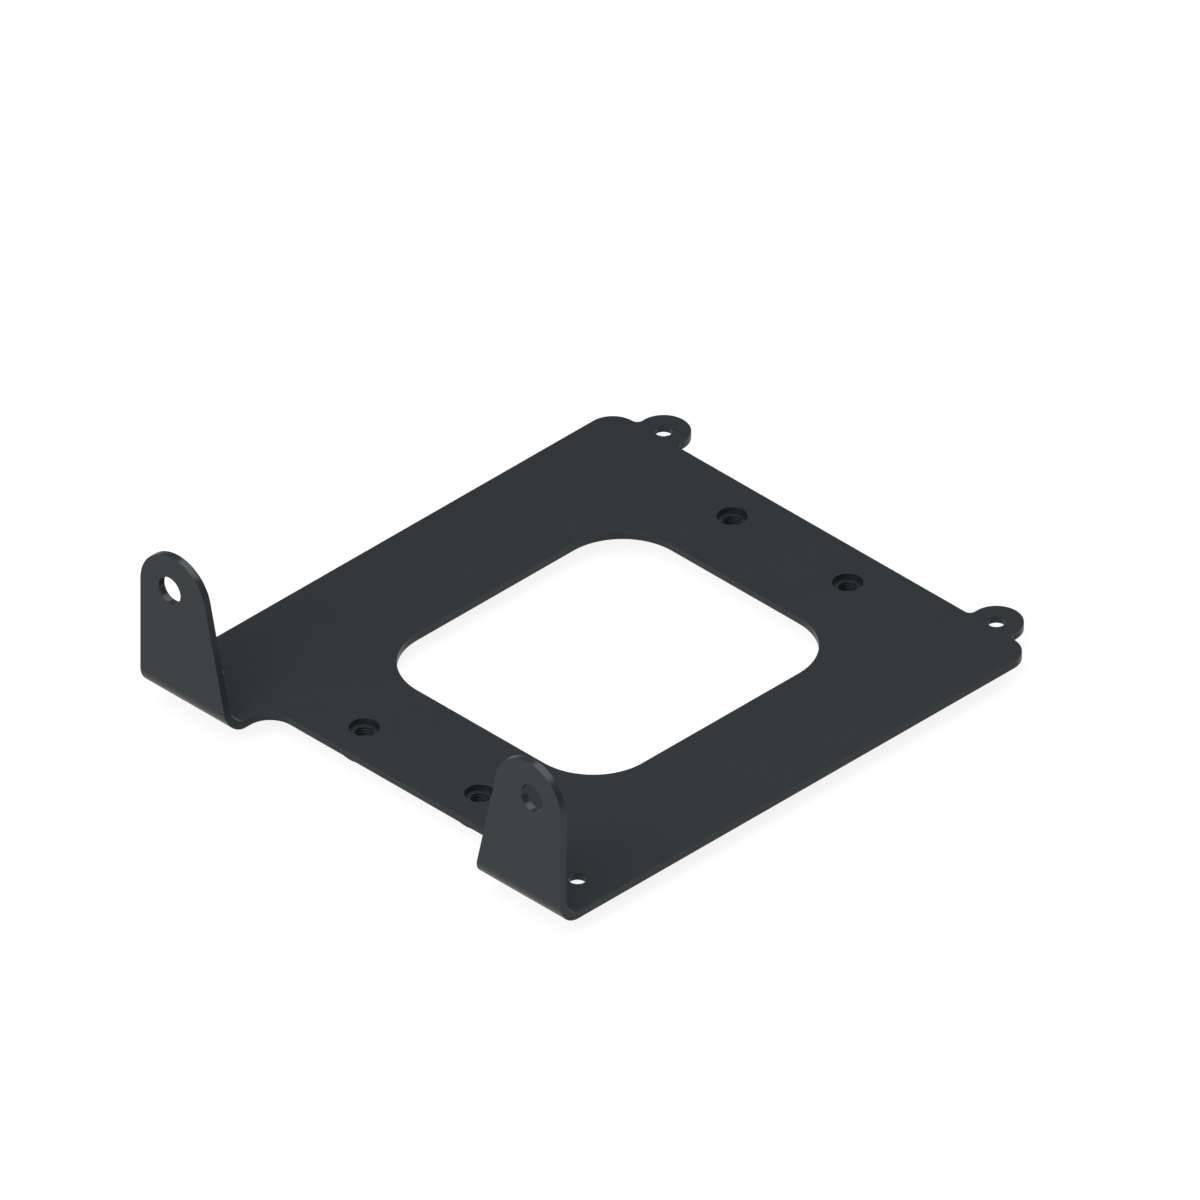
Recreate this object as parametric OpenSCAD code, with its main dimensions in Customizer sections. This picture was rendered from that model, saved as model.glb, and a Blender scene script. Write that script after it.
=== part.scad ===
/* [Plate] */
// Thickness of the steel sheet
sheet_t = 3; // [2:0.5:4]
// Width of the plate, side to side
plate_w = 215; // [200:5:260]
// Length of the flat plate, front edge to back edge
plate_l = 220; // [212:2:260]
// Radius of the two back corners
corner_r = 10; // [4:1:12]

/* [Centre cutout] */
// Width of the cutout
cutout_w = 115; // [60:5:125]
// Length of the cutout, front to back
cutout_l = 130; // [80:5:145]
// Radius of the cutout's corners
cutout_r = 25; // [5:1:28]

/* [Back ears] */
// Outer radius of each ear
ear_r = 10; // [8:0.5:12]
// Distance of an ear's centre from the side of the plate
ear_inset = 22.5; // [20:0.5:40]
// Distance of an ear's centre behind the back edge
ear_reach = 3.5; // [1:0.5:8]
// Radius of the fillets beside each ear
ear_fillet_r = 2.5; // [1.5:0.5:5]
// Diameter of the hole in each ear
ear_hole_d = 6.8; // [4:0.2:9]

/* [Front corner holes] */
// Diameter of each hole
corner_hole_d = 6.8; // [4:0.2:9]
// Distance of a hole's centre from the side of the plate
corner_hole_inset = 15; // [10:0.5:20]
// Distance of a hole's centre behind the front edge
corner_hole_back = 2; // [0:0.5:10]

/* [Uprights] */
// Height of an upright, from the underside of the plate
upright_h = 65; // [45:1:100]
// Width of an upright at its foot
foot_w = 45; // [38:1:60]
// Width that the tapering sides would leave at the top
top_w = 30; // [22:1:34]
// Distance of an upright's outer face in front of the plate's front edge
upright_reach = 21.5; // [18:0.5:40]
// Inner radius of the bend at the foot
bend_r = 6; // [3:0.5:9]
// Radius of the corners between the uprights and the front edge
notch_r = 10; // [4:1:14]
// Diameter of the hole in each upright
upright_hole_d = 11; // [6:0.5:13]
// Distance of that hole's centre from the side of the plate
upright_hole_inset = 15; // [12:0.5:16]
// Distance of that hole's centre below the top of the upright
upright_hole_drop = 15; // [12:0.5:20]

/* [Weld nuts] */
// Distance between the nuts' centres, side to side
nut_spacing_x = 59; // [40:1:100]
// Distance of the front nuts' centres behind the front edge
nut_front_inset = 15; // [13:0.5:20]
// Distance of the back nuts' centres in front of the back edge
nut_back_inset = 17; // [13:0.5:24]
// Diameter of the holes that the nuts' collars stand in
nut_hole_d = 11.3; // [10.5:0.1:12.5]
// Width of a nut across its flats
nut_flats = 15; // [14:0.5:17]
// Height of a nut's body below the sheet
nut_h = 8; // [5:0.5:12]
// Height of the round collar that stands in the sheet's hole
nut_collar_h = 0.7; // [0.4:0.1:1.8]
// Diameter of a nut's bore, at the tips of its thread
nut_bore_d = 6.8; // [5:0.1:8.4]
// Depth of the chamfer at each end of the bore
nut_sink = 0.15; // [0.1:0.05:0.7]
// Width of the ring that the chamfer takes off the nut's free end
nut_chamfer_w = 0.4; // [0.2:0.1:0.8]
// Gap all round between a nut's collar and its hole
collar_clearance = 0.05; // [0.02:0.01:0.1]

/* [Hidden] */
$fn = 96;
coat_colour = [0.20, 0.22, 0.23];
// How far a cutting shape runs past what it cuts
past = 1;

// The origin is the centre of the four nuts, on the underside of the sheet
half_w = plate_w / 2;
nut_spacing_y = plate_l - nut_front_inset - nut_back_inset;
front_y = -nut_spacing_y / 2 - nut_front_inset;
back_y = front_y + plate_l;
mid_y = (front_y + back_y) / 2;

// The bend that turns each upright up from the sheet
bend_outer_r = bend_r + sheet_t;
face_y = front_y - upright_reach;
bend_y = face_y + bend_outer_r;

// The taper of an upright's inner side, and the arc that touches both sides and the top
taper = (foot_w - top_w) / upright_h;
taper_angle = atan(taper);
top_arc_r = top_w / (1 / cos(taper_angle) + 1 - taper);
top_arc_z = upright_h - top_arc_r;
upright_hole_z = upright_h - upright_hole_drop;
gap_half_w = half_w - foot_w;

// The ears, and the chamfer of the nuts
ear_x = half_w - ear_inset;
ear_y = back_y + ear_reach;
corner_x = half_w - corner_r;
corner_y = back_y - corner_r;
chamfer_angle = 30;
nut_corner_r = nut_flats / 2 / cos(30);

// Copies its children to the other side of the plate
module both_sides() {
    children();
    mirror([1, 0, 0]) children();
}

// A rectangle centred on the origin with four round corners
module round_rectangle(w, l, r) {
    square([w - 2 * r, l], center = true);
    square([w, l - 2 * r], center = true);
    for (x = [-1, 1], y = [-1, 1])
        translate([x * (w / 2 - r), y * (l / 2 - r)]) circle(r);
}

// Centre of the fillet circle beside an ear: side is 1 for the outer fillet and -1 for the inner one.
// It touches the ear and the straight back edge, or past the edge's end the ear and the round corner.
function fillet_centre(side) =
    let (
        reach = ear_r + ear_fillet_r,
        rise = ear_reach - ear_fillet_r,
        x = ear_x + side * sqrt(reach * reach - rise * rise)
    )
    x <= corner_x ? [x, back_y + ear_fillet_r] : corner_fillet_centre(reach);

// Centre of a circle that touches the ear and the round corner of the plate from outside
function corner_fillet_centre(ear_dist) =
    let (
        corner_dist = corner_r + ear_fillet_r,
        dx = corner_x - ear_x,
        dy = corner_y - ear_y,
        apart = norm([dx, dy]),
        along = (ear_dist * ear_dist - corner_dist * corner_dist + apart * apart) / (2 * apart),
        across = sqrt(ear_dist * ear_dist - along * along)
    )
    [ear_x + (along * dx - across * dy) / apart, ear_y + (along * dy + across * dx) / apart];

// The web of metal that a fillet leaves between an ear and the plate
module ear_fillet(side) {
    centre = fillet_centre(side);
    difference() {
        polygon([[ear_x, ear_y], centre, [min(centre[0], corner_x), corner_y], [ear_x, corner_y]]);
        translate(centre) circle(ear_fillet_r);
    }
}

// Outline of the flat sheet: a rectangle with two round back corners and two ears
module plate_outline() {
    translate([-half_w, bend_y]) square([plate_w, corner_y - bend_y]);
    translate([-corner_x, mid_y]) square([2 * corner_x, back_y - mid_y]);
    both_sides() {
        translate([corner_x, corner_y]) circle(corner_r);
        translate([ear_x, ear_y]) circle(ear_r);
        ear_fillet(1);
        ear_fillet(-1);
    }
}

// Section through the folded sheet, seen from the side: flat, bend and upright
module folded_section() {
    translate([bend_y, 0]) square([front_y - bend_y, sheet_t]);
    intersection() {
        difference() {
            translate([bend_y, bend_outer_r]) circle(bend_outer_r);
            translate([bend_y, bend_outer_r]) circle(bend_r);
        }
        translate([face_y - past, -past]) square(bend_outer_r + past);
    }
    translate([face_y, bend_outer_r]) square([sheet_t, upright_h - bend_outer_r]);
}

// Front view of the right upright: straight outer side and round top. The side cut tapers it.
module upright_outline() {
    centre_x = half_w - top_arc_r;
    translate([centre_x, top_arc_z]) circle(top_arc_r);
    polygon([
        [half_w, 0],
        [half_w, top_arc_z],
        [centre_x, top_arc_z],
        [gap_half_w, top_arc_z + (centre_x - gap_half_w) * taper],
        [gap_half_w, 0]
    ]);
}

// The right upright with its bend and the strip of sheet that carries it
module upright() {
    intersection() {
        translate([gap_half_w, 0, 0]) rotate([90, 0, 90]) linear_extrude(foot_w) folded_section();
        translate([0, front_y, 0]) rotate([90, 0, 0]) linear_extrude(upright_reach + past) upright_outline();
    }
}

// What is cut away between the middle and the right upright: it leaves the front edge, the round
// corner beside the upright and the upright's tapering side, in one slanting cut
module side_cut() {
    cut_w = gap_half_w / cos(taper_angle) + past;
    below = gap_half_w;
    depth = upright_reach + past;
    translate([gap_half_w, front_y, 0]) rotate([0, taper_angle, 0]) translate([0, 0, -below])
        linear_extrude(below + upright_h / cos(taper_angle) + past) {
            translate([-cut_w, -depth]) square([cut_w, depth - notch_r]);
            translate([-cut_w, -notch_r - past]) square([cut_w - notch_r, notch_r + past]);
            translate([-notch_r, -notch_r]) circle(notch_r);
        }
}

// A round hole straight down through the sheet
module sheet_hole(x, y, d) {
    translate([x, y, -past]) cylinder(d = d, h = sheet_t + 2 * past);
}

// The folded sheet: one piece of steel, cut, drilled and bent
module bracket_plate() {
    color(coat_colour) difference() {
        union() {
            linear_extrude(sheet_t) plate_outline();
            both_sides() upright();
        }
        both_sides() side_cut();
        translate([0, mid_y, -past]) linear_extrude(sheet_t + 2 * past)
            round_rectangle(cutout_w, cutout_l, cutout_r);
        both_sides() {
            sheet_hole(ear_x, ear_y, ear_hole_d);
            sheet_hole(half_w - corner_hole_inset, front_y + corner_hole_back, corner_hole_d);
            sheet_hole(nut_spacing_x / 2, nut_spacing_y / 2, nut_hole_d);
            sheet_hole(nut_spacing_x / 2, -nut_spacing_y / 2, nut_hole_d);
            translate([half_w - upright_hole_inset, face_y - past, upright_hole_z]) rotate([-90, 0, 0])
                cylinder(d = upright_hole_d, h = sheet_t + 2 * past);
        }
    }
}

// Half section of the round shape that chamfers the free end of a nut
module chamfer_section() {
    end_r = nut_flats / 2 - nut_chamfer_w;
    wide_r = nut_corner_r + past;
    polygon([
        [0, -nut_h],
        [end_r, -nut_h],
        [wide_r, -nut_h + (wide_r - end_r) * tan(chamfer_angle)],
        [wide_r, 0],
        [0, 0]
    ]);
}

// Half section of a nut's bore, with a chamfer at each end
module bore_section() {
    bore_r = nut_bore_d / 2;
    sink_r = bore_r + nut_sink + past;
    polygon([
        [0, -nut_h - past],
        [sink_r, -nut_h - past],
        [bore_r, -nut_h + nut_sink],
        [bore_r, nut_collar_h - nut_sink],
        [sink_r, nut_collar_h + past],
        [0, nut_collar_h + past]
    ]);
}

// One weld nut: a hexagon under the sheet and a round collar in the sheet's hole.
// side is -1 on the left and 1 on the right, row is -1 at the front and 1 at the back.
module weld_nut(side, row) {
    translate([side * nut_spacing_x / 2, row * nut_spacing_y / 2, 0])
        color(coat_colour) difference() {
            union() {
                intersection() {
                    translate([0, 0, -nut_h]) cylinder(r = nut_corner_r, h = nut_h, $fn = 6);
                    rotate_extrude() chamfer_section();
                }
                cylinder(r = nut_hole_d / 2 - collar_clearance, h = nut_collar_h);
            }
            rotate_extrude() bore_section();
        }
}

module nut_front_left() { weld_nut(-1, -1); }
module nut_front_right() { weld_nut(1, -1); }
module nut_back_left() { weld_nut(-1, 1); }
module nut_back_right() { weld_nut(1, 1); }

bracket_plate();
nut_front_left();
nut_front_right();
nut_back_left();
nut_back_right();
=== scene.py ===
"""Looks of the folded sheet-steel mounting bracket: powder coat, weld nuts and a plain white studio."""

import math

import bmesh
import bpy
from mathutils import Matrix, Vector
from mathutils.geometry import delaunay_2d_cdt


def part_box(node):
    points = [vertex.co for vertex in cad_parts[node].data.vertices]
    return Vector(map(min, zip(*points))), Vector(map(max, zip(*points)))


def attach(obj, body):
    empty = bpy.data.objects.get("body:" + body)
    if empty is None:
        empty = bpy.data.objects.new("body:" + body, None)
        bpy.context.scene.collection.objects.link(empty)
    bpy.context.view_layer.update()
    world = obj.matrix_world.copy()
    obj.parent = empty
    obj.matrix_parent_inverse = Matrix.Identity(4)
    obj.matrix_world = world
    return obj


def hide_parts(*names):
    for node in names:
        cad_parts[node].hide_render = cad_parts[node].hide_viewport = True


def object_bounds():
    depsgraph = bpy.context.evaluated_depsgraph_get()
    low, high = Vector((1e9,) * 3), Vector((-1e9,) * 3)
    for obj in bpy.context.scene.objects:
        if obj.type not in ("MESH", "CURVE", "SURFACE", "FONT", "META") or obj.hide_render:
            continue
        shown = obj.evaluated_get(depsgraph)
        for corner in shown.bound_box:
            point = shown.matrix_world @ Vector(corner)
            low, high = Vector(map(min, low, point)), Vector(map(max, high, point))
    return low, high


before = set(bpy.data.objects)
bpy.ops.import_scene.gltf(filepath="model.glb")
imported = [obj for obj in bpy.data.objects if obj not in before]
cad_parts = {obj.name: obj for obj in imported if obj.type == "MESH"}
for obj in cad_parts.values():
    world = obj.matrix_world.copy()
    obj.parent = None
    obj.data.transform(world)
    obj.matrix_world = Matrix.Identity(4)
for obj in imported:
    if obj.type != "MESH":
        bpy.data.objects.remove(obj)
cad_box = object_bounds()

MM = 0.001

# Sizes are in millimetres and angles in degrees unless a comment or a name says otherwise.
# Everything is placed from the centre of the four nuts, on the underside of the flat sheet.

# The flat sheet
SHEET = 3.0
HALF_WIDTH = 107.5
FRONT_Y = -109.0
BACK_Y = 111.0
CORNER_RADIUS = 10.0
CUTOUT_WIDTH = 115.0
CUTOUT_LENGTH = 130.0
CUTOUT_RADIUS = 25.0

# The ears at the back, with the fillets beside them
EAR_X = 85.0
EAR_Y = 114.5
EAR_RADIUS = 10.0
EAR_FILLET = 2.5

# The uprights: bend, slanting inner side, one arc over the top from side to side, and the notch
# beside the foot
INNER_BEND = 6.0
OUTER_BEND = INNER_BEND + SHEET
FACE_Y = -130.5
BEND_Y = FACE_Y + OUTER_BEND
UPRIGHT_HEIGHT = 65.0
FOOT_X = 62.5
TOP_WIDTH = 30.0
TAPER = (HALF_WIDTH - FOOT_X - TOP_WIDTH) / UPRIGHT_HEIGHT
TAPER_ANGLE = math.atan(TAPER)
TOP_RADIUS = TOP_WIDTH / (1 / math.cos(TAPER_ANGLE) + 1 - TAPER)
NOTCH_RADIUS = 10.0

# Round holes of the right half: x, y and radius in the sheet, and x, z and radius in the upright
EAR_HOLE = (EAR_X, EAR_Y, 3.4)
CORNER_HOLE = (92.5, -107.0, 3.4)
BACK_NUT_HOLE = (29.5, 94.0, 5.65)
FRONT_NUT_HOLE = (29.5, -94.0, 5.65)
SHEET_HOLES = [EAR_HOLE, CORNER_HOLE, BACK_NUT_HOLE, FRONT_NUT_HOLE]
UPRIGHT_HOLE = (92.5, 50.0, 5.5)

# The two axes that the flat faces of the sheet and of the uprights lie along
SHEET_AXES = (0, 1)
UPRIGHT_AXES = (0, 2)

# The triangulation's mode, which keeps what is inside its loops, and the distance at which two
# points become one
INSIDE_THE_LOOPS = 1
SAME_POINT = 1e-5

# The coat flows round the cut edges, which rounds them; the steps say how finely curves are drawn
EDGE_ROUNDING = 0.1
EDGE_STEPS = 3
DEGREES_PER_STEP = 3.75
BEND_STEPS = 20

# A weld nut: a hexagon under the sheet with a round collar up in its hole
NUT_FLATS = 15.0
NUT_CORNERS = 6
NUT_CORNER_ROUNDING = 0.6
NUT_HEIGHT = 8.0
NUT_COLLAR_HEIGHT = 0.7
NUT_COLLAR_RADIUS = 5.6
NUT_END_RADIUS = 7.1
NUT_CHAMFER_ANGLE = 30.0
NUT_EDGE_ROUNDING = 0.15
SHARP_EDGE_ANGLE = 30.0

# The middle of a rounded edge lies this share of the rounding in from both faces
ROUNDING_MIDDLE = 0.3

# Extra cuts beside each of the nut's corners, as turns from the corner, so that its rounding shows
NUT_CORNER_TURNS = (-2.0, -1.3, -0.65, 0.65, 1.3, 2.0)

# Its thread, 8 mm coarse, which fades out over a short length towards the bore's two mouths
THREAD_PITCH = 1.25
THREAD_TIP_RADIUS = 3.4
THREAD_ROOT_RADIUS = 4.0
THREAD_FADE = 0.9
BORE_MOUTH_RADIUS = 3.55
ROWS_PER_PITCH = 14
STEPS_ROUND = 96

# A groove's flat bottom and its flanks end this far from its middle, as shares of the pitch
GROOVE_BOTTOM = 1 / 16
GROOVE_TOP = 3 / 8

# The coat's patterns: distance between their features, and how deep the two rough ones are.
# Patches of slightly other tone and gloss come from the spray, the orange peel from the baking.
TONE_PATCHES = 30.0
GLOSS_PATCHES = 4.0
ORANGE_PEEL = 1.6
ORANGE_PEEL_DEPTH = 0.012
# The real grain is about 0.05, too fine to show, so it is drawn coarser
GRAIN = 0.35
GRAIN_DEPTH = 0.004

# Oxide crystals are about 0.005, too fine to show, so they are drawn far coarser
OXIDE_CRYSTALS = 0.4

# The coat shines a little less than a clear one, as the photograph shows
COAT_IOR = 1.42

# The photograph's view: parallel, this wide, with this point in its middle
VIEW_AZIMUTH = 45.0
VIEW_ELEVATION = 35.0
VIEW_WIDTH = 433.6
VIEW_CENTRE = (-25.82, 22.80, SHEET)

# The studio, in metres: the floor, the inner and outer radius of the pool of light painted on it as a
# glow that only the coat's gloss sees, and the camera's distance
FLOOR_SIZE = 8.0
PAINTED_POOL_INSIDE = 0.3
PAINTED_POOL_OUTSIDE = 0.7
CAMERA_DISTANCE = 2.0

# Its levels, where 1 is white: the floor's own glow to the camera, the floor's painted glow in the
# coat's gloss inside and outside the painted pool of light, and the room
FLOOR_GLOW = 0.88
PAINTED_POOL_IN_GLOSS = 0.64
FAR_FLOOR_IN_GLOSS = 0.28
ROOM = 0.2


def linear(hex_code):
    """An sRGB colour such as "33373a" as linear red, green, blue and alpha."""
    channels = [int(hex_code[i:i + 2], 16) / 255 for i in (0, 2, 4)]
    return [c / 12.92 if c <= 0.04045 else ((c + 0.055) / 1.055) ** 2.4 for c in channels] + [1.0]


def per_metre(size_mm):
    """Scale of a pattern whose features are this many millimetres apart."""
    return 1 / (size_mm * MM)


def add_node(tree, kind, inputs=None, **settings):
    """Adds a shader node with its settings, and sets or links its inputs."""
    node = tree.nodes.new(kind)
    for name, value in settings.items():
        setattr(node, name, value)
    for name, value in (inputs or {}).items():
        if isinstance(value, bpy.types.NodeSocket):
            tree.links.new(value, node.inputs[name])
        else:
            node.inputs[name].default_value = value
    return node


def new_material(name):
    """An empty material, its node tree and its output node."""
    material = bpy.data.materials.new(name)
    material.use_nodes = True
    material.node_tree.nodes.clear()
    output = add_node(material.node_tree, "ShaderNodeOutputMaterial")
    return material, material.node_tree, output


def satin_powder_coat():
    """Polyester powder coat, sprayed and baked on steel: an even dark grey satin skin that flows
    into a very shallow orange peel, with a fine grain and slightly uneven gloss."""
    material, tree, output = new_material("satin_powder_coat")
    place = add_node(tree, "ShaderNodeTexCoord").outputs["Object"]
    patches = add_node(
        tree, "ShaderNodeTexNoise", {"Vector": place, "Scale": per_metre(TONE_PATCHES), "Detail": 3}
    )
    colour = add_node(
        tree,
        "ShaderNodeMix",
        {"Factor": patches.outputs["Fac"], "A": linear("292e31"), "B": linear("2d3235")},
        data_type="RGBA",
    )
    gloss = add_node(
        tree, "ShaderNodeTexNoise", {"Vector": place, "Scale": per_metre(GLOSS_PATCHES), "Detail": 2}
    )
    roughness = add_node(
        tree, "ShaderNodeMapRange", {"Value": gloss.outputs["Fac"], "To Min": 0.25, "To Max": 0.30}
    )
    peel = add_node(
        tree, "ShaderNodeTexNoise", {"Vector": place, "Scale": per_metre(ORANGE_PEEL), "Detail": 2}
    )
    peel_bump = add_node(
        tree,
        "ShaderNodeBump",
        {"Height": peel.outputs["Fac"], "Strength": 0.3, "Distance": ORANGE_PEEL_DEPTH * MM},
    )
    grain = add_node(
        tree, "ShaderNodeTexNoise", {"Vector": place, "Scale": per_metre(GRAIN), "Detail": 1}
    )
    grain_bump = add_node(
        tree,
        "ShaderNodeBump",
        {
            "Height": grain.outputs["Fac"],
            "Strength": 0.25,
            "Distance": GRAIN_DEPTH * MM,
            "Normal": peel_bump.outputs["Normal"],
        },
    )
    shader = add_node(
        tree,
        "ShaderNodeBsdfPrincipled",
        {
            "Base Color": colour.outputs["Result"],
            "Roughness": roughness.outputs["Result"],
            "IOR": COAT_IOR,
            "Normal": grain_bump.outputs["Normal"],
        },
    )
    tree.links.new(shader.outputs["BSDF"], output.inputs["Surface"])
    return material


def blackened_steel():
    """Black-oxided steel, left bare in the thread, which is masked while the bracket is coated: a dull,
    nearly neutral black with little shine."""
    material, tree, output = new_material("blackened_steel")
    place = add_node(tree, "ShaderNodeTexCoord").outputs["Object"]
    crystals = add_node(
        tree, "ShaderNodeTexNoise", {"Vector": place, "Scale": per_metre(OXIDE_CRYSTALS), "Detail": 3}
    )
    colour = add_node(
        tree,
        "ShaderNodeMix",
        {"Factor": crystals.outputs["Fac"], "A": linear("15181b"), "B": linear("1b1f22")},
        data_type="RGBA",
    )
    roughness = add_node(
        tree, "ShaderNodeMapRange", {"Value": crystals.outputs["Fac"], "To Min": 0.6, "To Max": 0.7}
    )
    shader = add_node(
        tree,
        "ShaderNodeBsdfPrincipled",
        {"Base Color": colour.outputs["Result"], "Roughness": roughness.outputs["Result"]},
    )
    tree.links.new(shader.outputs["BSDF"], output.inputs["Surface"])
    return material


def arc(centre, radius, start, end):
    """Points on an arc in degrees, each with its outward direction: ((u, v), (du, dv))."""
    steps = max(2, math.ceil(abs(end - start) / DEGREES_PER_STEP))
    points = []
    for step in range(steps + 1):
        angle = math.radians(start + (end - start) * step / steps)
        du, dv = math.cos(angle), math.sin(angle)
        points.append(((centre[0] + radius * du, centre[1] + radius * dv), (du, dv)))
    return points


def inward(points):
    """The same points with their directions turned round, for a hollow arc or a hole."""
    return [(point, (-du, -dv)) for point, (du, dv) in points]


class Station:
    """One place on a cut edge: its point on the top or inner face, its point on the bottom or outer
    face, the first face's normal, and the direction out of the metal along each of the two faces."""

    def __init__(self, top, bottom, normal, out):
        self.top, self.bottom = Vector(top), Vector(bottom)
        self.normal, self.out = Vector(normal).normalized(), Vector(out).normalized()

    def mirrored(self):
        """The same place on the other half of the bracket."""
        flip = Vector((-1, 1, 1))
        return Station(self.top * flip, self.bottom * flip, self.normal * flip, self.out * flip)


def in_sheet(points):
    """Stations of a cut straight down through the flat sheet."""
    return [Station((x, y, SHEET), (x, y, 0), (0, 0, 1), (dx, dy, 0)) for (x, y), (dx, dy) in points]


def in_upright(points):
    """Stations of a cut straight through an upright, from its inner to its outer face."""
    inner_y = FACE_Y + SHEET
    return [
        Station((x, inner_y, z), (x, FACE_Y, z), (0, 1, 0), (dx, 0, dz))
        for (x, z), (dx, dz) in points
    ]


def bend_point(x_at, radius, turn):
    """A point of the bend on a radius: x_at gives x at a height."""
    z = OUTER_BEND - radius * math.cos(turn)
    return (x_at(z), BEND_Y - radius * math.sin(turn), z)


def slanting_x(z):
    """x of an upright's slanting side at a height."""
    return FOOT_X + z * TAPER


def outer_x(_):
    """x of an upright's outer side."""
    return HALF_WIDTH


def bend_stations(x_at, taper, side):
    """Stations up the bend along a side of the upright: side is -1 on the slanting side, 1 outside."""
    stations = []
    for step in range(BEND_STEPS + 1):
        turn = math.pi / 2 * step / BEND_STEPS
        normal = (0, math.sin(turn), math.cos(turn))
        lean = math.sin(turn) * taper
        out = (side, -lean * math.cos(turn), lean * math.sin(turn))
        stations.append(
            Station(bend_point(x_at, INNER_BEND, turn), bend_point(x_at, OUTER_BEND, turn), normal, out)
        )
    return stations


def notch_stations():
    """Stations of the round notch beside the foot: an arc cut along the slant of the upright's side."""
    stretch = 1 / math.cos(TAPER_ANGLE)
    stations = []
    # u and v start where the slanting side would meet the front edge
    for (u, v), (du, dv) in inward(arc((-NOTCH_RADIUS, -NOTCH_RADIUS), NOTCH_RADIUS, 90, 0)):
        top, bottom = ((slanting_x(z) + u * stretch, FRONT_Y + v, z) for z in (SHEET, 0))
        stations.append(Station(top, bottom, (0, 0, 1), (du, dv * stretch, 0)))
    return stations


def right_outline():
    """The cut edge of the right half, as named stretches from the middle of the front to the middle
    of the back."""
    top_z = UPRIGHT_HEIGHT - TOP_RADIUS
    top_x = HALF_WIDTH - TOP_RADIUS
    corner = (HALF_WIDTH - CORNER_RADIUS, BACK_Y - CORNER_RADIUS)
    ear = (EAR_X, EAR_Y)
    # A fillet's centre is its radius behind the back edge, and both radii away from the ear's centre
    rise = EAR_Y - BACK_Y - EAR_FILLET
    reach = math.sqrt((EAR_RADIUS + EAR_FILLET) ** 2 - rise**2)
    lean = math.degrees(math.asin(rise / (EAR_RADIUS + EAR_FILLET)))
    outer_fillet, inner_fillet = ((EAR_X + side * reach, BACK_Y + EAR_FILLET) for side in (1, -1))
    back = arc(corner, CORNER_RADIUS, 0, 90)
    back += inward(arc(outer_fillet, EAR_FILLET, 270, 180 - lean))
    back += arc(ear, EAR_RADIUS, -lean, 180 + lean)[1:]
    back += inward(arc(inner_fillet, EAR_FILLET, lean, -90))[1:]
    return {
        "notch": notch_stations(),
        "slanting side": bend_stations(slanting_x, TAPER, -1),
        "top": in_upright(arc((top_x, top_z), TOP_RADIUS, 180 - math.degrees(TAPER_ANGLE), 0)),
        "outer side": bend_stations(outer_x, 0, 1)[::-1],
        "back": in_sheet(back),
    }


def cutout_stations():
    """Stations round the centre cutout."""
    middle_y = (FRONT_Y + BACK_Y) / 2
    points = []
    for x_side, y_side, start in ((1, -1, -90), (1, 1, 0), (-1, 1, 90), (-1, -1, 180)):
        x = x_side * (CUTOUT_WIDTH / 2 - CUTOUT_RADIUS)
        y = middle_y + y_side * (CUTOUT_LENGTH / 2 - CUTOUT_RADIUS)
        points += arc((x, y), CUTOUT_RADIUS, start, start + 90)
    return in_sheet(inward(points))


def circle(x, across, radius):
    """Points round a hole, with their directions out of the metal."""
    return inward(arc((x, across), radius, 0, 360)[:-1])


class SheetMesh:
    """Collects the folded sheet's points with their exact normals, and its faces."""

    def __init__(self):
        self.build = bmesh.new()
        self.normals = []

    def point(self, place, normal):
        """Adds a point, placed in mm, with the direction that it is shaded by."""
        self.normals.append(normal.normalized())
        return self.build.verts.new(place * MM)

    def column(self, station):
        """Points over a cut edge: round its first edge, down the cut and round its second edge."""
        down = (station.bottom - station.top).normalized()
        along = station.normal.cross(station.out)
        # The wall of the cut looks this way, which isn't quite out where the cut slants
        wall = along.cross(down).normalized()
        if wall.dot(station.out) < 0:
            wall = -wall
        first = (station.top, station.normal, down)
        second = (station.bottom, -station.normal, -down)
        points = []
        for corner, face, into in (first, second):
            rounded = []
            for step in range(EDGE_STEPS + 1):
                turn = math.pi / 2 * step / EDGE_STEPS
                place = corner - station.out * EDGE_ROUNDING * (1 - math.sin(turn))
                place += into * EDGE_ROUNDING * (1 - math.cos(turn))
                rounded.append(self.point(place, face * math.cos(turn) + wall * math.sin(turn)))
            points.append(rounded)
        return points[0] + points[1][::-1]

    def quad(self, *corners):
        """Adds a face with four corners, unless two of them are one point."""
        if len(set(corners)) == 4:
            self.build.faces.new(corners)

    def cut(self, stations):
        """The rounded cut edge along a closed line of stations. Returns its columns of points."""
        columns = [self.column(s) for s in stations]
        for here, there in zip(columns, columns[1:] + columns[:1]):
            for row in range(len(here) - 1):
                self.quad(here[row], there[row], there[row + 1], here[row + 1])
        return columns

    def fill(self, loops, axes):
        """Flat faces inside the first closed loop of points and outside the others, on two axes."""
        points, edges, loop_of = [], [], []
        for number, loop in enumerate(loops):
            first = len(points)
            edges += [(first + step, first + (step + 1) % len(loop)) for step in range(len(loop))]
            points += loop
            loop_of += [number] * len(loop)
        seen = [Vector((point.co[axes[0]], point.co[axes[1]])) / MM for point in points]
        _, _, triangles, origins, _, _ = delaunay_2d_cdt(seen, edges, [], INSIDE_THE_LOOPS, SAME_POINT)
        for triangle in triangles:
            corners = [origins[corner][0] for corner in triangle]
            # A triangle with all its corners on one hole's loop lies in that hole
            in_hole = len({loop_of[corner] for corner in corners}) == 1 and loop_of[corners[0]] > 0
            if not in_hole:
                self.build.faces.new([points[corner] for corner in corners])

    def finish(self, name):
        """The finished mesh, shaded by its exact normals."""
        bmesh.ops.recalc_face_normals(self.build, faces=self.build.faces)
        for face in self.build.faces:
            face.smooth = True
        mesh = bpy.data.meshes.new(name)
        self.build.to_mesh(mesh)
        self.build.free()
        mesh.normals_split_custom_set_from_vertices(self.normals)
        return mesh


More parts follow.
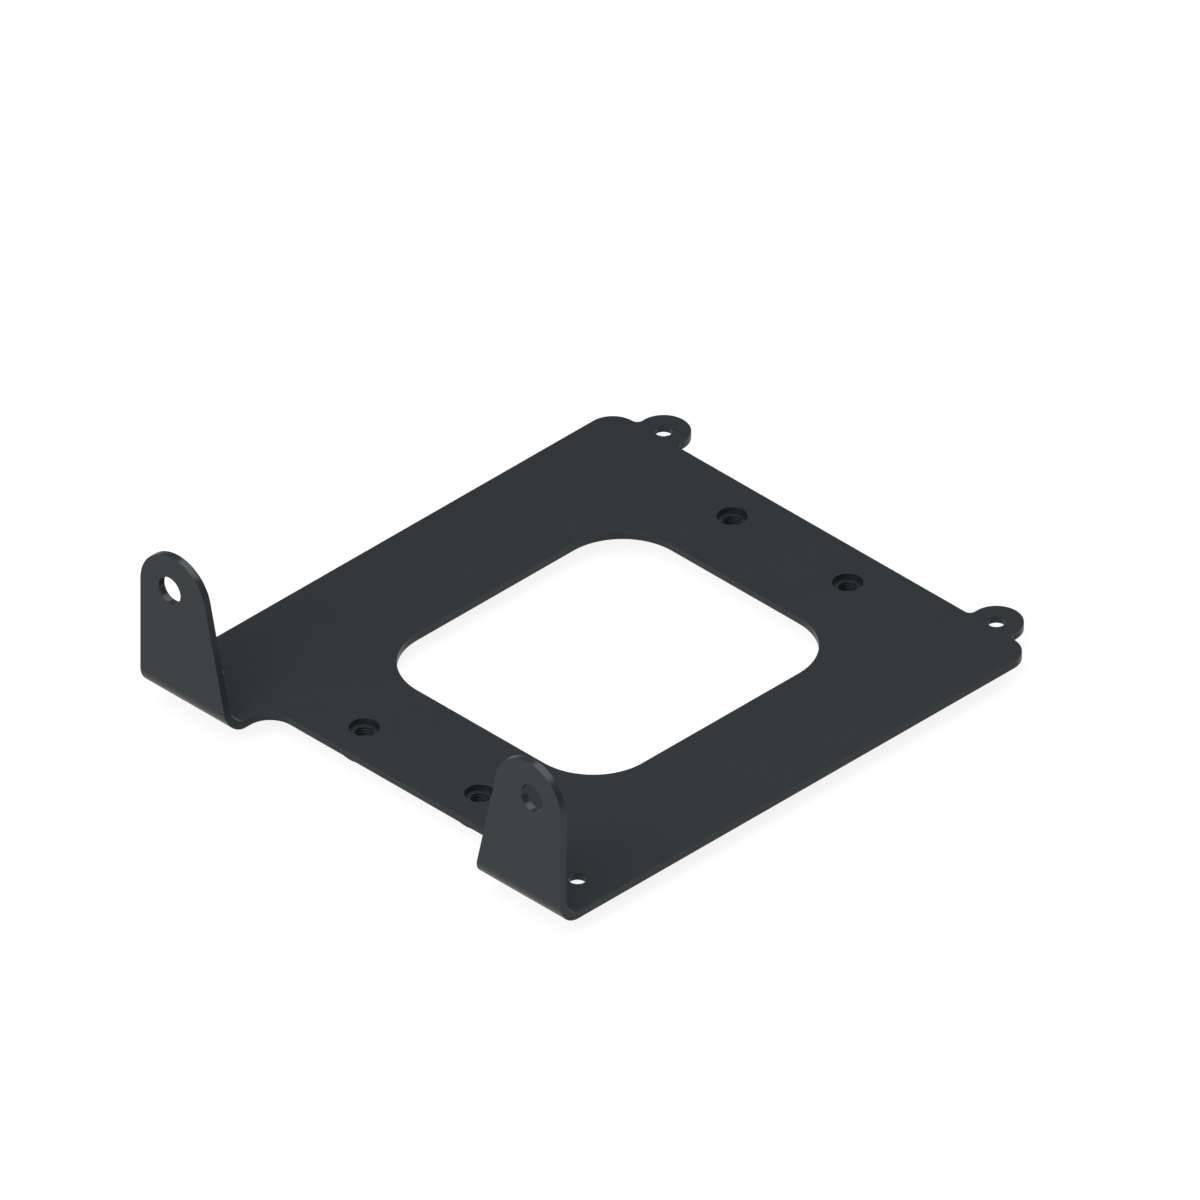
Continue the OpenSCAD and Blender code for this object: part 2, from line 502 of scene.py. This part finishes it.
def folded_sheet_mesh():
    """The bracket's one folded sheet, with every cut edge rounded by the coat."""
    mesh = SheetMesh()
    half = right_outline()
    # One closed line of stations goes up the right half and comes back down the mirrored left half
    stretches = [("right", name, stations) for name, stations in half.items()]
    for name in reversed(list(half)):
        stretches.append(("left", name, [s.mirrored() for s in half[name][::-1]]))
    columns = mesh.cut([s for _, _, stations in stretches for s in stations])
    outline = {"right": {}, "left": {}}
    for side, name, stations in stretches:
        part, columns = columns[: len(stations)], columns[len(stations) :]
        outline[side][name] = part if side == "right" else part[::-1]

    upright_cuts, sheet_cuts = {}, [mesh.cut(cutout_stations())]
    for side in ("right", "left"):
        cuts = [in_sheet(circle(*hole)) for hole in SHEET_HOLES] + [in_upright(circle(*UPRIGHT_HOLE))]
        if side == "left":
            cuts = [[s.mirrored() for s in cut] for cut in cuts]
        *flat, upright_cuts[side] = [mesh.cut(cut) for cut in cuts]
        sheet_cuts += flat

    # A column's first point is on the top or inner face, and its last on the bottom or outer face
    for face in (0, -1):
        plate = []
        for side in ("right", "left"):
            part = {name: [column[face] for column in part] for name, part in outline[side].items()}
            slanting, outer = part["slanting side"], part["outer side"][::-1]
            for step in range(BEND_STEPS):
                mesh.quad(slanting[step], outer[step], outer[step + 1], slanting[step + 1])
            hole = [column[face] for column in upright_cuts[side]]
            mesh.fill([[slanting[-1], *part["top"], outer[-1]], hole], UPRIGHT_AXES)
            around = [*part["notch"], slanting[0], outer[0], *part["back"]]
            plate += around if side == "right" else around[::-1]
        mesh.fill([plate] + [[column[face] for column in cut] for cut in sheet_cuts], SHEET_AXES)
    return mesh.finish("folded_sheet")


def hexagon_radius(angle):
    """Radius of a hexagon with a flat to the front and rounded corners, at an angle in degrees."""
    sector = 360 / NUT_CORNERS
    half = sector / 2
    from_corner = math.radians((angle + half) % sector - half)
    flat = NUT_FLATS / 2 / math.cos(math.radians(half) - abs(from_corner))
    # A corner's rounding is a circle; its centre is this far out, and this far beside the angle's line
    centre = (NUT_FLATS / 2 - NUT_CORNER_ROUNDING) / math.cos(math.radians(half))
    aside = centre * math.sin(from_corner)
    if abs(aside) >= NUT_CORNER_ROUNDING:
        return flat
    return min(flat, centre * math.cos(from_corner) + math.sqrt(NUT_CORNER_ROUNDING**2 - aside**2))


def nut_angles():
    """Angles in degrees of the nut's columns of points: even steps, and extra ones at its corners."""
    even = {360 * step / STEPS_ROUND for step in range(STEPS_ROUND)}
    corners = [360 / NUT_CORNERS * corner for corner in range(NUT_CORNERS)]
    beside = {(corner + turn) % 360 for corner in corners for turn in NUT_CORNER_TURNS}
    return sorted(even | beside)


def bore_radius(angle, height):
    """Radius of the bore's wall: a right-hand thread that fades out towards both ends."""
    # Where in its pitch the thread is here: a groove's middle is at a half
    turn = (height / THREAD_PITCH - angle / 360) % 1.0
    depth = (GROOVE_TOP - abs(turn - 0.5)) / (GROOVE_TOP - GROOVE_BOTTOM)
    # Distance in from the nearer of the bore's two mouths
    inside = min(NUT_COLLAR_HEIGHT - height, height + NUT_HEIGHT)
    fade = min(max(inside / THREAD_FADE, 0.0), 1.0)
    groove = (THREAD_ROOT_RADIUS - THREAD_TIP_RADIUS) * min(max(depth, 0.0), 1.0) * fade
    return max(THREAD_TIP_RADIUS + groove, BORE_MOUTH_RADIUS - inside)


def nut_outside(angle):
    """The nut's section at an angle, as (radius, height), from its collar's top down to its end."""
    hexagon = hexagon_radius(angle)
    edge = NUT_EDGE_ROUNDING
    middle = edge * ROUNDING_MIDDLE
    slope = math.tan(math.radians(NUT_CHAMFER_ANGLE))
    chamfer_z = -NUT_HEIGHT + max(hexagon - NUT_END_RADIUS, 0.0) * slope
    return [
        (NUT_COLLAR_RADIUS - edge, NUT_COLLAR_HEIGHT),
        (NUT_COLLAR_RADIUS - middle, NUT_COLLAR_HEIGHT - middle),
        (NUT_COLLAR_RADIUS, NUT_COLLAR_HEIGHT - edge),
        (NUT_COLLAR_RADIUS, 0.0),
        (hexagon - edge, 0.0),
        (hexagon - middle, -middle),
        (hexagon, -edge),
        (hexagon, chamfer_z + edge),
        (hexagon - middle, chamfer_z),
        (hexagon - edge, chamfer_z - edge * slope),
        (NUT_END_RADIUS, -NUT_HEIGHT),
    ]


def weld_nut_mesh():
    """A hexagon weld nut with its collar, chamfered end and real thread, centred on the bore's axis."""
    height = NUT_HEIGHT + NUT_COLLAR_HEIGHT
    rows = round(height / THREAD_PITCH * ROWS_PER_PITCH)
    bore = [-NUT_HEIGHT + height * row / rows for row in range(rows + 1)]
    mesh = bpy.data.meshes.new("weld_nut")
    build = bmesh.new()
    columns = []
    for angle in nut_angles():
        across, along = math.cos(math.radians(angle)) * MM, math.sin(math.radians(angle)) * MM
        section = [(bore_radius(angle, z), z) for z in bore] + nut_outside(angle)
        columns.append([build.verts.new((r * across, r * along, z * MM)) for r, z in section])
    for column, following in zip(columns, columns[1:] + columns[:1]):
        for row in range(len(column)):
            after = (row + 1) % len(column)
            face = build.faces.new((column[row], following[row], following[after], column[after]))
            face.material_index = 1 if row < rows else 0
            face.smooth = True
    bmesh.ops.recalc_face_normals(build, faces=build.faces)
    build.to_mesh(mesh)
    build.free()
    mesh.set_sharp_from_angle(angle=math.radians(SHARP_EDGE_ANGLE))
    return mesh


def centre_of(node):
    """Centre of a node in plan, as x and y in metres."""
    low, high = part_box(node)
    return (low.x + high.x) / 2, (low.y + high.y) / 2


def studio_floor(height):
    """A wide matt floor of pale grey. To the camera it is a darker grey with a white glow, so that it
    looks white and keeps the bracket's shadow. The coat's gloss sees a painted pool of light on it
    instead:
    a glow that is brightest near the bracket, fades further out and takes no shadow."""
    material, tree, output = new_material("pale_floor")
    rays = add_node(tree, "ShaderNodeLightPath").outputs
    place = add_node(tree, "ShaderNodeTexCoord").outputs["Object"]
    matt = add_node(tree, "ShaderNodeBsdfDiffuse", {"Color": linear("bcbcbc")}).outputs["BSDF"]
    away = add_node(tree, "ShaderNodeVectorMath", {0: place}, operation="LENGTH").outputs["Value"]
    # Painted pool of light: an emission that only glossy rays see, brighter near the bracket and dimmer
    # far off
    painted_pool = add_node(
        tree,
        "ShaderNodeMapRange",
        {
            "Value": away,
            "From Min": PAINTED_POOL_INSIDE,
            "From Max": PAINTED_POOL_OUTSIDE,
            "To Min": PAINTED_POOL_IN_GLOSS,
            "To Max": FAR_FLOOR_IN_GLOSS,
        },
        interpolation_type="SMOOTHSTEP",
    )
    painted_glow_in_gloss = add_node(
        tree, "ShaderNodeEmission", {"Color": linear("ffffff"), "Strength": painted_pool.outputs["Result"]}
    ).outputs["Emission"]
    for_others = add_node(
        tree, "ShaderNodeMixShader", {"Fac": rays["Is Glossy Ray"], 1: matt, 2: painted_glow_in_gloss}
    ).outputs["Shader"]
    dimmed = add_node(tree, "ShaderNodeBsdfDiffuse", {"Color": linear("808080")}).outputs["BSDF"]
    glow = add_node(
        tree, "ShaderNodeEmission", {"Color": linear("ffffff"), "Strength": FLOOR_GLOW}
    ).outputs["Emission"]
    for_camera = add_node(tree, "ShaderNodeAddShader", {0: dimmed, 1: glow}).outputs["Shader"]
    shown = add_node(
        tree, "ShaderNodeMixShader", {"Fac": rays["Is Camera Ray"], 1: for_others, 2: for_camera}
    )
    tree.links.new(shown.outputs["Shader"], output.inputs["Surface"])
    bpy.ops.mesh.primitive_plane_add(size=FLOOR_SIZE, location=(0, 0, height))
    floor = bpy.context.object
    floor.name = "studio_floor"
    floor.data.materials.append(material)


def softbox(name, direction, distance, width, height, power):
    """A soft rectangular lamp in a direction from the bracket, turned towards it. Its distance and
    size are in metres and its power in watts."""
    data = bpy.data.lights.new(name, "AREA")
    data.shape = "RECTANGLE"
    data.size, data.size_y = width, height
    data.energy = power
    lamp = bpy.data.objects.new(name, data)
    towards = Vector(direction).normalized()
    lamp.location = towards * distance
    lamp.rotation_mode = "QUATERNION"
    lamp.rotation_quaternion = towards.to_track_quat("Z", "Y")
    bpy.context.scene.collection.objects.link(lamp)


def studio_world():
    """A dim, even room of cool white, and plain white where the camera sees it."""
    world = bpy.data.worlds.new("studio")
    world.use_nodes = True
    tree = world.node_tree
    tree.nodes.clear()
    camera_ray = add_node(tree, "ShaderNodeLightPath").outputs["Is Camera Ray"]
    room = add_node(
        tree, "ShaderNodeBackground", {"Color": linear("eef1f4"), "Strength": ROOM}
    ).outputs["Background"]
    white = add_node(
        tree, "ShaderNodeBackground", {"Color": linear("ffffff"), "Strength": 1.0}
    ).outputs["Background"]
    shown = add_node(tree, "ShaderNodeMixShader", {"Fac": camera_ray, 1: room, 2: white})
    add_node(tree, "ShaderNodeOutputWorld", {"Surface": shown.outputs["Shader"]})
    bpy.context.scene.world = world


def photograph_camera():
    """A parallel view at the photograph's angle and scale."""
    data = bpy.data.cameras.new("camera")
    data.type = "ORTHO"
    data.ortho_scale = VIEW_WIDTH * MM
    camera = bpy.data.objects.new("camera", data)
    turn, rise = math.radians(VIEW_AZIMUTH), math.radians(VIEW_ELEVATION)
    back = Vector((math.sin(turn) * math.cos(rise), -math.cos(turn) * math.cos(rise), math.sin(rise)))
    camera.location = Vector(VIEW_CENTRE) * MM + back * CAMERA_DISTANCE
    camera.rotation_mode = "QUATERNION"
    camera.rotation_quaternion = (-back).to_track_quat("-Z", "Y")
    bpy.context.scene.collection.objects.link(camera)
    bpy.context.scene.camera = camera


coat = satin_powder_coat()
bare_thread = blackened_steel()

sheet_mesh = folded_sheet_mesh()
sheet_mesh.materials.append(coat)
sheet = bpy.data.objects.new("folded_sheet", sheet_mesh)
bpy.context.scene.collection.objects.link(sheet)
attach(sheet, "root")
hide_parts("bracket_plate")

nut_mesh = weld_nut_mesh()
nut_mesh.materials.append(coat)
nut_mesh.materials.append(bare_thread)
for place in ("front_left", "front_right", "back_left", "back_right"):
    node = "nut_" + place
    nut = bpy.data.objects.new("weld_nut_" + place, nut_mesh)
    bpy.context.scene.collection.objects.link(nut)
    nut.location = (*centre_of(node), 0)
    nut.modifiers.new("even_faces", "WEIGHTED_NORMAL").keep_sharp = True
    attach(nut, "root")
    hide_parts(node)

# The overhead lamp and the front fill light the faces that the camera sees and reach into the nut
# holes. The lamp behind gives the bright band on the arcs of the uprights, and the low one behind
# gives the gleam along the inside of the bends.
studio_floor(cad_box[0].z)
softbox("overhead", (0.15, -0.5, 0.85), distance=1.2, width=1.0, height=1.0, power=7.8)
softbox("behind", (0.035, 0.58, 0.81), distance=3.0, width=2.85, height=1.7, power=35.0)
softbox("low_behind", (-0.56, 0.82, 0.14), distance=3.0, width=0.9, height=0.6, power=0.9)
softbox("front_fill", (0.0, -0.9, 0.6), distance=1.5, width=0.8, height=0.8, power=4.5)
studio_world()
photograph_camera()
bpy.context.scene.view_settings.view_transform = "Standard"
